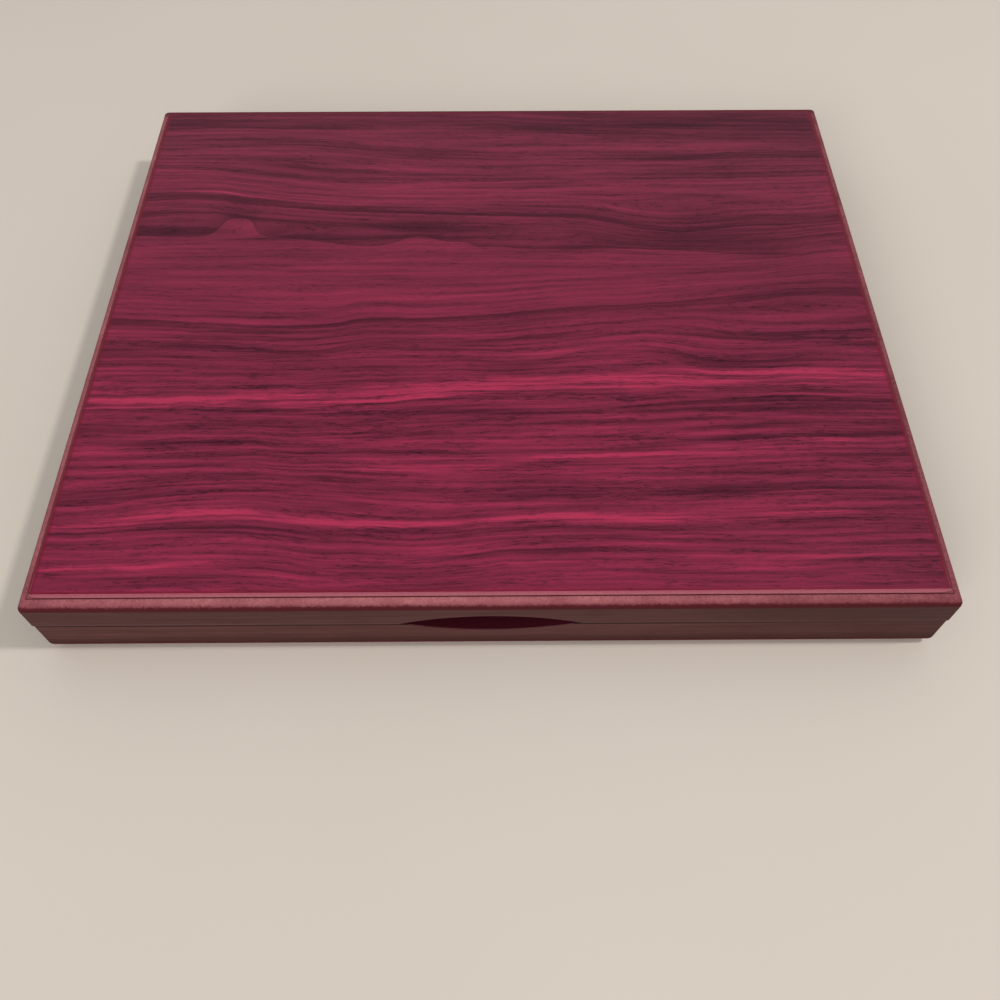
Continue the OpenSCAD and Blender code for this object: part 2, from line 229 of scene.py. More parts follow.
# A growth line runs through its (x, y) bends, in millimetres from the middle of the sheet. It is
# crisp on one side and fades out over some millimetres to the other.
GrowthLine = namedtuple("GrowthLine", "fades_to fade depth bends")
BACK, FRONT = 1, -1
GROWTH_LINES = [
    GrowthLine(BACK, 9, 0.13, [
        (-142, 114), (-92, 111.6), (-52, 109.6), (8, 107.6), (48, 107), (108, 106), (146, 105.6),
    ]),
    GrowthLine(BACK, 1.5, 0.16, [(2, 116.4), (42, 113.6), (82, 113), (145, 111.6)]),
    GrowthLine(BACK, 5, 0.22, [
        (-142, 97), (-82, 97.6), (-52, 94), (-32, 91.6), (4, 89), (22, 89), (82, 88.6), (112, 89.6),
        (145, 90),
    ]),
    GrowthLine(BACK, 6, 0.17, [
        (-146, 84), (-112, 82), (-92, 78.4), (-72, 75), (-52, 74), (-2, 74.4), (17, 75), (62, 76),
        (112, 76.4), (145, 77),
    ]),
    GrowthLine(BACK, 3.2, 0.24, [
        (-146, 63), (-117, 64), (-102, 61), (-72, 57.6), (-52, 55.6), (-27, 54.4), (4, 52.6), (37, 51),
        (52, 47.6), (62, 44.6), (77, 42.6), (87, 43), (102, 45.6), (132, 47), (145, 49),
    ]),
    GrowthLine(BACK, 8, 0.24, [
        (-144, 42), (-127, 41), (-117, 41.6), (-113.5, 43.6), (-111.5, 47), (-109, 50.5),
        (-104, 52), (-99, 50), (-97, 46), (-95, 42.6), (-88, 40.6), (-77, 39), (-67, 37.6), (-57, 35.6),
        (-47, 35), (-39, 37), (-34, 39.6), (-27, 40.6), (-17, 37.6), (-10, 37), (-6, 34.6), (4, 34),
        (22, 32.6), (52, 32.6), (72, 31.6), (92, 30), (107, 28.8), (121, 28.6),
    ]),
    GrowthLine(BACK, 1.5, 0.15, [(100, 31), (121, 32), (132, 35), (145, 36.6)]),
    GrowthLine(FRONT, 5.5, 0.26, [
        (-144, -4.2), (-122, -6), (-102, -7.2), (-82, -8.4), (-67, -8.2), (-57, -7), (-52, -5.4),
        (-42, -4.4), (-27, -5.2), (-12, -4.4), (4, -3), (12, -2), (32, 0.6), (52, 1.6), (72, 3),
        (87, 5), (102, 7), (112, 8.8), (127, 10), (145, 10),
    ]),
    GrowthLine(FRONT, 3.5, 0.20, [
        (-144, -16.8), (-122, -17.4), (-102, -18.4), (-90, -20), (-77, -21.2), (-65, -21), (-57, -19.4),
        (-52, -18), (-42, -17.2), (-22, -17.4), (4, -16), (12, -14.4), (32, -12.4), (52, -10.4),
        (72, -9.6), (80, -10.4), (87, -12.2), (97, -13), (122, -12.8), (145, -11.4),
    ]),
    GrowthLine(FRONT, 2, 0.12, [(-144, -25.8), (-127, -25), (-112, -26.4), (-52, -25.4), (-32, -25)]),
    GrowthLine(FRONT, 1.5, 0.16, [(-127, -38.5), (-92, -38), (-52, -38)]),
    GrowthLine(FRONT, 5, 0.14, [(-12, -25), (12, -27.5), (44, -20), (62, -20), (84, -27), (112, -26)]),
    GrowthLine(FRONT, 3.5, 0.28, [
        (-144, -49), (-122, -48.4), (-102, -47.8), (-82, -49), (-62, -48.4), (-47, -47.2), (-22, -44.4),
        (4, -42),
    ]),
    GrowthLine(FRONT, 3.5, 0.24, [
        (-8, -51.4), (32, -50.4), (52, -48.4), (72, -46.4), (92, -45), (112, -44), (132, -45.4), (145, -46),
    ]),
    GrowthLine(BACK, 4, 0.15, [(-142, -59.5), (-92, -61), (-62, -61.5), (-32, -59), (-2, -55)]),
    GrowthLine(BACK, 3, 0.13, [(-127, -67), (-92, -65), (-80, -65), (-72, -68.4), (-57, -68.4)]),
    GrowthLine(BACK, 3.5, 0.24, [(12, -68.4), (62, -67), (82, -65), (102, -63), (132, -63.4), (145, -63)]),
    GrowthLine(BACK, 1.8, 0.18, [
        (-144, -84.4), (-117, -82), (-92, -80.2), (-72, -79.8), (-57, -80.4), (-47, -82.4), (-32, -84),
        (4, -84.4),
    ]),
    GrowthLine(BACK, 4, 0.25, [
        (-145, -90.4), (-127, -89), (-107, -86.4), (-92, -85), (-77, -85), (-67, -86.4), (-52, -87.4),
        (-32, -89), (4, -89), (22, -88), (72, -87), (92, -86), (117, -85), (142, -86),
    ]),
    GrowthLine(BACK, 2.2, 0.22, [
        (-122, -100.4), (-92, -99.4), (-72, -100.4), (-57, -103), (-42, -103.4), (-22, -104), (7, -101),
        (37, -100.4), (82, -101.4), (122, -100.4),
    ]),
]

# A light streak runs the same way and fades alike to both sides.
LightStreak = namedtuple("LightStreak", "half_width glow bends")
LIGHT_STREAKS = [
    LightStreak(1.3, 0.20, [(-129, 69), (-112, 68), (-92, 65), (-72, 62), (-46, 60)]),
    LightStreak(4.2, 0.30, [
        (-144, -46), (-72, -46), (-22, -42), (8, -38), (48, -37), (108, -35), (146, -34.5),
    ]),
    LightStreak(1.2, 0.24, [
        (-52, -75.4), (4, -74.4), (22, -71), (52, -70), (82, -67), (102, -66), (132, -65),
    ]),
    LightStreak(1.6, 0.30, [
        (-145, -98.4), (-122, -96.4), (-107, -94.4), (-92, -93.2), (-82, -93.4), (-72, -95.4),
        (-8, -98), (17, -95), (62, -96), (92, -95.4), (117, -94),
    ]),
    LightStreak(0.9, 0.24, [
        (-144, -115), (-132, -113.4), (-112, -114), (-102, -112.4), (-77, -112), (-62, -113.4),
        (-42, -115), (-17, -114.4), (-2, -113), (22, -112.4),
    ]),
]

# A line whose bends stop short of SHEET_END fades out over END_FADE on both sides of its last bend.
SHEET_END = 140
END_FADE = 12

# A knot is a light patch at (x, y), with its reach along and across the grain.
KNOTS = [(-104, 46, 7, 4.5), (-27, 37.5, 15, 3)]
KNOT_GLOW = 0.12

# COURSE_SPAN scales heights and places to the 0 to 1 of a curve node. The streaks follow a growth
# line that lies within FLOW_REACH, unless it fades over WIDE_FADE or more.
COURSE_SPAN = 300
FLOW_REACH = 11
WIDE_FADE = 8


def course(tree, x, bends):
    """Height over x of a line through bends, all in millimetres from the middle of the sheet."""
    places = [(bx / COURSE_SPAN + 0.5, by / COURSE_SPAN + 0.5) for bx, by in bends]
    along = x / COURSE_SPAN + 0.5
    height = tree.add("ShaderNodeFloatCurve", {"bends": places}, {"Value": along})
    return (height - 0.5) * COURSE_SPAN


def reach(tree, x, bends):
    """1 along a line, falling away past an end that stops short of the sheet's edge."""
    first, last = bends[0][0], bends[-1][0]
    there = 1.0
    if first > -SHEET_END:
        there = tree.step(x, first - END_FADE, first + END_FADE) * there
    if last < SHEET_END:
        there = (1 - tree.step(x, last - END_FADE, last + END_FADE)) * there
    return there


def strength(tree, y, levels):
    """A strength from 0 to 1 that follows levels written for heights on the sheet, in millimetres."""
    places = [(by / COURSE_SPAN + 0.5, level) for by, level in levels]
    return tree.add("ShaderNodeFloatCurve", {"bends": places}, {"Value": y / COURSE_SPAN + 0.5})


def grain_sheet(name, half_w, half_d, turned):
    """Printed rosewood film. The sheet under the case is cut from the same print, turned round."""
    film = Finish(name, specular_ior_level=0.1)
    x, y = (-film.x, -film.y) if turned else (film.x, film.y)

    waver = film.noise(film.vector(x / 16, y / 16, 0.5), detail=3, roughness=0.6)
    y = y + (waver - 0.5) * 1.5
    shade, pull, weight = 0.0, 0.0, 0.05
    for line in GROWTH_LINES:
        run = course(film, x, line.bends)
        past = (y - run) * line.fades_to
        fading = film.math("EXPONENT", film.math("MAXIMUM", past, 0.0) / -line.fade)
        there = reach(film, x, line.bends)
        shade = film.step(past, -0.35, 0.25) * fading * there * line.depth + shade
        if line.fade < WIDE_FADE:
            near = film.hump(past, FLOW_REACH)
            level = sum(by for _, by in line.bends) / len(line.bends)
            pull = near * (run - level) + pull
            weight = near + weight
    flow = y - pull / weight

    glow = 0.0
    for streak in LIGHT_STREAKS:
        beside = film.hump(y - course(film, x, streak.bends), streak.half_width)
        glow = beside * reach(film, x, streak.bends) * streak.glow + glow

    for knot_x, knot_y, long, wide in KNOTS:
        glow = film.hump(x - knot_x, long) * film.hump(y - knot_y, wide) * KNOT_GLOW + glow

    drift = film.noise(film.vector(x / 110, flow / 6, 1.0), detail=4, roughness=0.6)
    bands = film.noise(film.vector(x / 64, flow / 2.0, 4.0), detail=3, roughness=0.62)
    fibre = film.noise(film.vector(x / 13, flow / 0.5, 7.0), detail=3, roughness=0.7)
    dash = film.noise(film.vector(x / 3.6, flow / 0.45, 2.5), detail=2, roughness=0.6)
    clump = film.noise(film.vector(x / 30, flow / 4, 9.0), detail=3, roughness=0.6)
    pores = film.step(dash + (clump - 0.5) * 0.5, 0.54, 0.70)
    grit = film.noise(film.vector(x / 0.9, y / 0.5, 3.5), detail=2, roughness=0.6)
    lively = strength(film, y, LIVELINESS)
    streaks = (bands - 0.5) * 1.5 + (fibre - 0.5) * 0.36
    crisp = film.step(bands * 0.6 + fibre * 0.4, 0.40, 0.60)
    level = strength(film, flow, BRIGHTNESS) - film.step(x, 20, 150) * 0.08
    tone = level + (drift - 0.5) * 0.6 + lively * (streaks - pores * 0.22) + pores * -0.05
    tone = tone - shade + glow * (0.35 + crisp * 0.9) + (grit - 0.5) * 0.12

    colour = film.ramp(tone, [
        (0.0, srgb(50, 10, 26)), (0.3, srgb(82, 24, 42)), (0.5, srgb(110, 34, 57)),
        (0.75, srgb(141, 41, 70)), (1.0, srgb(172, 49, 82)),
    ])
    # A paler, greyer copy of the print's ramp, mixed in towards the back: a painted reflection of the pale
    # room seen at a grazing angle.
    reflected_haze = film.ramp(tone, [
        (0.0, srgb(58, 21, 32)), (0.3, srgb(82, 29, 45)), (0.5, srgb(106, 39, 58)),
        (0.75, srgb(130, 46, 69)), (1.0, srgb(158, 53, 82)),
    ])
    colour = film.mix(film.step(film.y, -60, 120) * 0.9, colour, reflected_haze)

    side_gap = half_w - abs(film.x)
    end_gap = half_d - abs(film.y)
    gap = film.math("SMOOTH_MIN", side_gap, end_gap, 0.6)
    wander = film.noise(film.place, scale=0.5, detail=2) * 0.9
    rim = 1 - film.step(gap + wander, 0.9, 1.9)
    colour = film.mix(rim * 0.65, colour, srgb(112, 20, 38))
    # A light pink line along the sheet's front edge only: partly the pale cut edge of the film, partly a
    # painted highlight where that edge faces the light.
    cut_edge_highlight = (1 - film.step(gap + wander * 0.2, 0.12, 0.34)) * (1 - film.step(film.y, -half_d, 12 - half_d))
    colour = film.mix(cut_edge_highlight * 0.6, colour, srgb(196, 112, 132))

    dust = film.add(
        "ShaderNodeTexVoronoi", {"feature": "F1"}, {"Vector": film.place, "Scale": 1 / 34.0}
    )
    speck = 1 - film.step(dust, 0.006, 0.010)
    colour = film.mix(speck * 0.7, colour, srgb(214, 196, 200))

    rub = film.noise(film.vector(x / 60, y / 45, 3.0), detail=5, roughness=0.7)
    roughness = 0.40 + (rub - 0.5) * 0.22 + (bands - 0.5) * 0.10 + speck * 0.3
    relief = bands * 0.4 + fibre * 0.4 - pores * 0.4
    return film.close(colour, roughness, relief, depth=0.03)


# How lively the streaks are, and how bright the print is, from the front edge to the back one
LIVELINESS = [
    (-123, 0.80), (-84, 0.86), (-50, 0.90), (-14, 0.74), (-2, 0.54), (28, 0.52), (44, 0.62), (80, 0.70),
    (123, 0.58),
]
BRIGHTNESS = [
    (-123, 0.59), (-100, 0.61), (-76, 0.63), (-60, 0.61), (-34, 0.60), (-12, 0.61), (0, 0.62),
    (18, 0.60), (34, 0.61), (44, 0.52), (56, 0.54), (62, 0.64), (76, 0.62), (100, 0.60), (108, 0.54),
    (114, 0.46), (123, 0.44),
]


# The routed fibreboard

def routed_board(name, low, high, up):
    """Stained fibreboard: mottled where it is routed, dark at the step and along the rails from darker stain
    with painted shade, and with painted shade along the back edge.
    """
    board = Finish(name, specular_ior_level=0.06)
    height = (board.z - low.z) if up > 0 else (high.z - board.z)
    gap = board.math("MINIMUM", high.x - abs(board.x), high.y - abs(board.y))
    patch = board.noise(board.place, scale=0.07, detail=3, roughness=0.6)
    mottle = board.noise(board.place, scale=0.8, detail=4, roughness=0.75)
    fleck = board.noise(board.place, scale=2.6, detail=3, roughness=0.75)
    to_front = 1 - board.step(board.y, low.y + SHEET_IN + 0.1, low.y + SHEET_IN + 0.6)
    pale = board.hump(board.x + 15, 85) * to_front
    to_right = board.step(board.x, 40, high.x)
    tone = 0.50 + (patch - 0.5) * 0.7 + (mottle - 0.5) * 0.7 + (fleck - 0.5) * 0.9
    tone = tone + pale * 0.12 - to_right * 0.22
    colour = board.ramp(tone, [
        (0.0, srgb(90, 38, 44)), (0.3, srgb(130, 68, 75)), (0.6, srgb(158, 90, 95)),
        (1.0, srgb(190, 124, 124)),
    ])
    ragged = (mottle - 0.5) * 1.6 + (fleck - 0.5) * 1.2
    # Low on the rout, where it turns to face forwards and meets the rails, the colour darkens: partly a
    # darker stain pooled there, partly painted shade.
    lower = 1 - board.step(height, 1.8, 3.5)
    colour = board.mix(lower * 0.8, colour, srgb(114, 53, 61))
    pooled_stain_and_shade = 1 - board.step(height + ragged, 1.7, 2.6)
    colour = board.mix(pooled_stain_and_shade * 0.97, colour, srgb(78, 25, 31))
    # A dark line at the step: partly darker stain, partly painted shade in the crease; the shade is painted
    # strongest along the front.
    step_shade_and_stain = board.hump(gap - QUARTER_R + 0.06, 0.17) * (1 - board.step(height, STEP_TOP - 0.1, STEP_TOP))
    shoulder = board.step(height, STEP_TOP - 0.05, STEP_TOP + 0.02)
    sanded = board.noise(board.place, scale=1.6, detail=3, roughness=0.7)
    pink = board.mix(sanded, srgb(144, 70, 84), srgb(176, 104, 114))
    overprint = board.mix(sanded, srgb(84, 28, 42), srgb(116, 48, 60))
    colour = board.mix(shoulder * 0.9, colour, board.mix(to_front, overprint, pink))
    # The rout along the back edge is darkened: painted shade where it slopes away from the light.
    far = board.step(board.y, high.y - 7, high.y - 3)
    colour = board.mix(far * 0.85, colour, srgb(86, 34, 44))
    colour = board.mix(step_shade_and_stain * (0.15 + to_front * 0.8), colour, srgb(60, 16, 22))
    roughness = 0.62 + (mottle - 0.5) * 0.3 - shoulder * 0.12
    relief = mottle * 0.5 + fleck * 0.5
    return board.close(colour, roughness, relief, depth=0.10)


STEP_TOP = LID_BOARD_HIGH.z - LID_BOARD_LOW.z - SHOULDER_DROP
QUARTER_BAND = STEP_TOP - STEP_H - QUARTER_R


# The wrapped rails

def rail_wrap(name, lengthwise, warmth):
    """Printed paper over the rails. The grain runs along the rail; warmth turns it from grey to red."""
    wrap = Finish(name, specular_ior_level=0.06)
    along, across = (wrap.x, wrap.y) if lengthwise == "X" else (wrap.y, wrap.x)
    grain = wrap.noise(wrap.vector(along / 46, wrap.z / 0.9, across / 3), detail=5, roughness=0.62)
    thread = wrap.noise(wrap.vector(along / 14, wrap.z / 0.28, across / 2), detail=3, roughness=0.6)
    cloud = wrap.noise(wrap.place, scale=0.02, detail=3, roughness=0.6)
    tone = 0.52 + (grain - 0.5) * 0.9 + (thread - 0.5) * 0.35 + (cloud - 0.5) * 0.25
    tone = tone - wrap.step(wrap.x, 0, 150) * 0.24
    grey = wrap.ramp(tone, [
        (0.0, srgb(54, 28, 27)), (0.5, srgb(79, 48, 47)), (1.0, srgb(110, 73, 71)),
    ])
    red = wrap.ramp(tone, [
        (0.0, srgb(56, 25, 24)), (0.5, srgb(88, 49, 47)), (1.0, srgb(118, 73, 71)),
    ])
    colour = wrap.mix(warmth, grey, red)

    low = wrap.step(wrap.z, BASE_BOARD_HIGH.z - 1, BASE_BOARD_HIGH.z + 6)
    colour = wrap.mix((1 - low) * 0.85, colour, srgb(56, 20, 18))
    from_parting = abs(wrap.z - PARTING_Z)
    worn = 1 - wrap.step(from_parting + (thread - 0.5) * 0.6, 0.5, 1.9)
    colour = wrap.mix(worn * 0.12, colour, srgb(150, 108, 106))
    # A dark band painted on the base rails just below the parting: painted shadow under the lid's overhang,
    # fainter to the right.
    under_lid_shadow = (
        wrap.step(wrap.z, PARTING_Z - 1.3, PARTING_Z - 1.0)
        * (1 - wrap.step(wrap.z, PARTING_Z - 0.05, PARTING_Z))
    )
    faint = wrap.step(wrap.x, 30, 140) * 0.4
    colour = wrap.mix(under_lid_shadow * (0.65 + cloud * 0.5 - faint), colour, srgb(30, 10, 10))

    # Inside the finger scoop the rails are painted dark maroon: the bare stained board, darkened by painted
    # shade in the hollow.
    hollow = (
        wrap.step(wrap.y, SCOOP_FACE_Y, SCOOP_FACE_Y + 0.2)
        * (1 - wrap.step(wrap.y, SCOOP_BACK_Y, SCOOP_BACK_Y + 0.2))
        * (1 - wrap.step(abs(wrap.x), SCOOP_HALF_W, SCOOP_HALF_W + 0.2))
        * (1 - wrap.step(abs(wrap.z - PARTING_Z), SCOOP_RISE, SCOOP_RISE + 0.1))
    )
    shaded_bare_board = wrap.mix(wrap.noise(wrap.place, scale=1.2, detail=4), srgb(56, 14, 26), srgb(84, 20, 34))
    colour = wrap.mix(hollow, colour, shaded_bare_board)
    rub = wrap.noise(wrap.place, scale=0.12, detail=4, roughness=0.7)
    roughness = 0.44 + (rub - 0.5) * 0.2 + hollow * 0.3
    return wrap.close(colour, roughness, grain * 0.5 + thread * 0.5, depth=0.02)


SCOOP_DEPTH = 6
SCOOP_FACE_Y = LID_BOARD_LOW.y + 0.5
SCOOP_BACK_Y = LID_BOARD_LOW.y + SCOOP_DEPTH + 0.2
SCOOP_HALF_W = 30.2
SCOOP_RISE = 5.5


# Metal, card, foam and cloth

def plated_brass(name, shine):
    """Plated brass with fine polishing lines and a little tarnish."""
    brass = Finish(name, metallic=1.0)
    lines = brass.noise(brass.vector(brass.x / 3, brass.y / 0.09, brass.z / 0.09), detail=2)
    tarnish = brass.noise(brass.place, scale=0.35, detail=5, roughness=0.7)
    worn = brass.step(tarnish, 0.5, 0.72)
    colour = brass.mix(worn * 0.6, srgb(214, 178, 104), srgb(146, 104, 56))
    roughness = shine + (lines - 0.5) * 0.2 + worn * 0.22
    return brass.close(colour, roughness, lines, depth=0.01)


def plated_magnet():
    """Bright nickel with faint scuffs from the pair meeting."""
    nickel = Finish("plated_magnet", metallic=1.0)
    scuff = nickel.noise(nickel.vector(nickel.x / 0.3, nickel.y / 1.6, nickel.z), detail=4, roughness=0.7)
    marks = nickel.step(scuff, 0.5, 0.7)
    colour = nickel.mix(marks * 0.4, srgb(214, 214, 218), srgb(150, 148, 150))
    return nickel.close(colour, 0.16 + marks * 0.25, scuff, depth=0.01)


def backing_card():
    """Grey board with pulp flecks."""
    card = Finish("backing_card", specular_ior_level=0.3)
    pulp = card.noise(card.place, scale=1.1, detail=5, roughness=0.7)
    colour = card.ramp(pulp, [(0.3, srgb(118, 110, 100)), (0.7, srgb(164, 156, 144))])
    return card.close(colour, 0.85 + (pulp - 0.5) * 0.2, pulp, depth=0.05)


def soft_foam():
    """Open-cell foam."""
    foam = Finish("soft_foam", specular_ior_level=0.2)
    cells = foam.add("ShaderNodeTexVoronoi", sockets={"Vector": foam.place, "Scale": 1.6})
    colour = foam.mix(cells, srgb(40, 38, 40), srgb(84, 82, 84))
    return foam.close(colour, 0.9 + cells * 0.05, cells, depth=0.3)


def velvet(name, deep, lit):
    """Short-pile velvet: brushed patches, a fine nap, and light along its folds."""
    cloth = Finish(
        name, specular_ior_level=0.15, sheen_weight=0.55, sheen_roughness=0.35, sheen_tint=lit
    )
    brushed = cloth.noise(cloth.vector(cloth.x / 26, cloth.y / 17, cloth.z / 9), detail=4, roughness=0.65)
    tufts = cloth.noise(cloth.place, scale=2.6, detail=3, roughness=0.8)
    tone = 0.5 + (brushed - 0.5) * 1.2 + (tufts - 0.5) * 0.9
    colour = cloth.mix(cloth.step(tone, 0.1, 0.95), deep, lit)
    return cloth.close(colour, 0.92 - brushed * 0.08, tufts, depth=0.35)


# Boards and sheets, swept round the case by geometry nodes

def sweep_tree():
    """Sweeps a half section round a rounded rectangle, roughens the rout and gives it a finish.

    The section comes in as a line of points: x is how far it stands in from the rim, z is its height.
    """
    group = bpy.data.node_groups.new("sweep_round_the_rim", "GeometryNodeTree")
    sockets = (
        ("Section", "INPUT", "NodeSocketGeometry"), ("Width", "INPUT", "NodeSocketFloat"),
        ("Depth", "INPUT", "NodeSocketFloat"), ("Corner Radius", "INPUT", "NodeSocketFloat"),
        ("Spacing", "INPUT", "NodeSocketFloat"), ("Ragged Inset", "INPUT", "NodeSocketFloat"),
        ("Ragged Reach", "INPUT", "NodeSocketFloat"), ("Nap", "INPUT", "NodeSocketFloat"),
        ("Nap Inset", "INPUT", "NodeSocketFloat"), ("Seed", "INPUT", "NodeSocketFloat"),
        ("Sanding", "INPUT", "NodeSocketFloat"),
        ("Finish", "INPUT", "NodeSocketMaterial"), ("Board", "OUTPUT", "NodeSocketGeometry"),
    )
    for name, way, kind in sockets:
        group.interface.new_socket(name, in_out=way, socket_type=kind)
    tree = Tree(group)
    given = tree.add("NodeGroupInput").socket.node
    size = {output.name: Value(tree, output) for output in given.outputs if output.name}

    position = tree.add("GeometryNodeInputPosition")
    line = tree.add("GeometryNodeMeshToCurve", sockets={0: size["Section"]})
    section = stored(tree, line, "section", position)

    rim = tree.add("GeometryNodeCurvePrimitiveQuadrilateral", sockets={0: size["Width"], 1: size["Depth"]})
    rim = tree.add("GeometryNodeFilletCurve", {"mode": "POLY"}, {
        "Curve": rim, "Count": 6, "Radius": size["Corner Radius"],
    })
    index = tree.add("GeometryNodeInputIndex")
    follower = tree.add("GeometryNodeOffsetPointInCurve", sockets={"Point Index": index, "Offset": 1}, out=1)
    ahead = tree.add("GeometryNodeFieldAtIndex", {"data_type": "FLOAT_VECTOR", "domain": "POINT"}, {
        "Index": follower, "Value": position,
    })
    gap = tree.add("ShaderNodeVectorMath", {"operation": "DISTANCE"}, {0: position, 1: ahead}, out=1)
    cuts = tree.math("FLOOR", gap / size["Spacing"])
    rim = tree.add("GeometryNodeSubdivideCurve", sockets={"Curve": rim, "Cuts": cuts})
    rim = stored(tree, rim, "rim", position)

    board = tree.add("GeometryNodeCurveToMesh", sockets={0: rim, 1: section})
    rim_x, rim_y, _ = tree.split(named(tree, "rim"))
    inset, _, height = tree.split(named(tree, "section"))
    grit = tree.add("ShaderNodeTexNoise", {"noise_dimensions": "4D"}, {
        "Vector": named(tree, "rim"), "W": size["Seed"], "Scale": 620.0, "Detail": 4.0, "Roughness": 0.7,
    })
    at_step = tree.hump(inset - size["Ragged Inset"], 0.2 * MM)
    inset = inset + (grit - 0.5) * at_step * size["Ragged Reach"]
    from_corner = (size["Width"] / 2 - abs(rim_x)) + (size["Depth"] / 2 - abs(rim_y))
    sanded = tree.math("EXPONENT", -(from_corner / size["Sanding"])) * inset * 0.28
    away = inset + sanded * tree.step(inset, 0.0, size["Ragged Inset"] + 0.1 * MM)
    place = tree.vector(
        rim_x * (1 - away * 2 / size["Width"]), rim_y * (1 - away * 2 / size["Depth"]), height
    )
    board = tree.add("GeometryNodeSetPosition", sockets={"Geometry": board, "Position": place})

    fibres = tree.add("ShaderNodeTexNoise", {"noise_dimensions": "4D"}, {
        "Vector": position, "W": size["Seed"] + 5, "Scale": 900.0, "Detail": 3.0, "Roughness": 0.6,
    })
    in_rout = 1 - tree.step(inset, size["Nap Inset"] - 0.3 * MM, size["Nap Inset"])
    lift = (fibres - 0.5) * in_rout * size["Nap"]
    normal = tree.add("GeometryNodeInputNormal")
    nap = tree.add("ShaderNodeVectorMath", {"operation": "SCALE"}, {0: normal, "Scale": lift})
    board = tree.add("GeometryNodeSetPosition", sockets={"Geometry": board, "Offset": nap})
    board = tree.add("GeometryNodeRealizeInstances", sockets={0: board})
    board = tree.add("GeometryNodeSetMaterial", sockets={"Geometry": board, "Material": size["Finish"]})
    tree.add("NodeGroupOutput", sockets={0: board})
    return group


def stored(tree, geometry, name, vector):
    return tree.add("GeometryNodeStoreNamedAttribute", {"data_type": "FLOAT_VECTOR", "domain": "POINT"}, {
        "Geometry": geometry, "Name": name, "Value": vector,
    })


def named(tree, name):
    return tree.add("GeometryNodeInputNamedAttribute", {"data_type": "FLOAT_VECTOR"}, {"Name": name})


def grown(group, name, start_mesh, inputs):
    """An object whose plain mesh is what the geometry nodes make of the start mesh."""
    piece = bpy.data.objects.new(name, start_mesh)
    bpy.context.scene.collection.objects.link(piece)
    modifier = piece.modifiers.new(group.name, "NODES")
    modifier.node_group = group
    for item in group.interface.items_tree:
        if item.in_out == "INPUT" and item.name in inputs:
            modifier[item.identifier] = inputs[item.name]
    depsgraph = bpy.context.evaluated_depsgraph_get()
    plain = bpy.data.meshes.new_from_object(piece.evaluated_get(depsgraph))
    piece.modifiers.remove(modifier)
    piece.data = plain
    return piece


def half_section(name, points):
    """A line of points for the sweep, from the middle of the outer face round to the inner face."""
    mesh = bpy.data.meshes.new(name)
    edges = [(i, i + 1) for i in range(len(points) - 1)]
    mesh.from_pydata([(inset * MM, 0.0, height * MM) for inset, height in points], edges, [])
    return mesh


def arc(middle, radius, start, end, count):
    """Points on an arc, in degrees from the rim's way in towards the outer face."""
    turns = [math.radians(start + (end - start) * i / count) for i in range(count + 1)]
    return [(middle[0] + radius * math.cos(t), middle[1] + radius * math.sin(t)) for t in turns]


FIELD_INSET = 25
SWEEP_SPACING = 0.8

# How uneven the rout and the sheet's cut edge are, and how far sanding reaches from a corner
BOARD_RAGGED = 0.5
BOARD_NAP = 0.10
BOARD_SANDING = 1.6
SHEET_RAGGED = 0.12
SHEET_SANDING = 1.0


def board_section(thickness):
    """Section of a board from its inner face, height 0, to the face under the sheet."""
    quarter = arc((QUARTER_R, QUARTER_BAND), QUARTER_R, 180, 90, 12)
    step_top = thickness - SHOULDER_DROP
    return [
        (FIELD_INSET, thickness), (SHEET_IN + 1, thickness), (SHEET_IN, thickness),
        (QUARTER_R + SHOULDER_W / 2, thickness - SHOULDER_DROP / 2), (QUARTER_R, step_top),
        (QUARTER_R, step_top - STEP_H / 2), *reversed(quarter), (0, 0), (FIELD_INSET, 0),
    ]


def sheet_section(thickness):
    """Section of a printed sheet, with its cut edge slightly rolled over."""
    edge = arc((SHEET_EDGE_R, thickness - SHEET_EDGE_R), SHEET_EDGE_R, 180, 90, 4)
    return [(FIELD_INSET, thickness), (2, thickness), *reversed(edge), (0, 0), (FIELD_INSET, 0)]


def closed_board(piece, outer_z, up, smooth_angle=35):
    """Sets a swept piece at its height, closes its two flat fields and turns its faces outwards."""
    work = bmesh.new()
    work.from_mesh(piece.data)
    bmesh.ops.remove_doubles(work, verts=work.verts, dist=1e-6)
    open_edges = [edge for edge in work.edges if edge.is_boundary]
    bmesh.ops.holes_fill(work, edges=open_edges, sides=0)
    bmesh.ops.transform(work, matrix=Matrix.Diagonal((1, 1, up, 1)), verts=work.verts)
    bmesh.ops.translate(work, vec=(0, 0, outer_z * MM), verts=work.verts)
    bmesh.ops.recalc_face_normals(work, faces=work.faces)
    work.to_mesh(piece.data)
    work.free()
    for name in ("section", "rim"):
        if name in piece.data.attributes:
            piece.data.attributes.remove(piece.data.attributes[name])
    piece.data.shade_smooth()
    piece.data.set_sharp_from_angle(angle=math.radians(smooth_angle))
    return piece


def swept_board(group, node, body, up, finish, seed):
    """A routed board. Its height 0 is the face on the rails, and up is -1 for the base."""
    low, high = box_mm(node)
    thickness = high.z - low.z
    board = grown(group, f"{node}_routed", half_section(f"{node}_section", board_section(thickness)), {
        "Width": (high.x - low.x) * MM, "Depth": (high.y - low.y) * MM,
        "Corner Radius": RIM_CORNER_R * MM, "Spacing": SWEEP_SPACING * MM, "Ragged Inset": QUARTER_R * MM,
        "Ragged Reach": BOARD_RAGGED * MM, "Nap": BOARD_NAP * MM, "Nap Inset": SHEET_IN * MM,
        "Seed": seed, "Sanding": BOARD_SANDING * MM, "Finish": finish,
    })
    closed_board(board, low.z if up > 0 else high.z, up)
    return fitted(board, body, "routed_board", node)


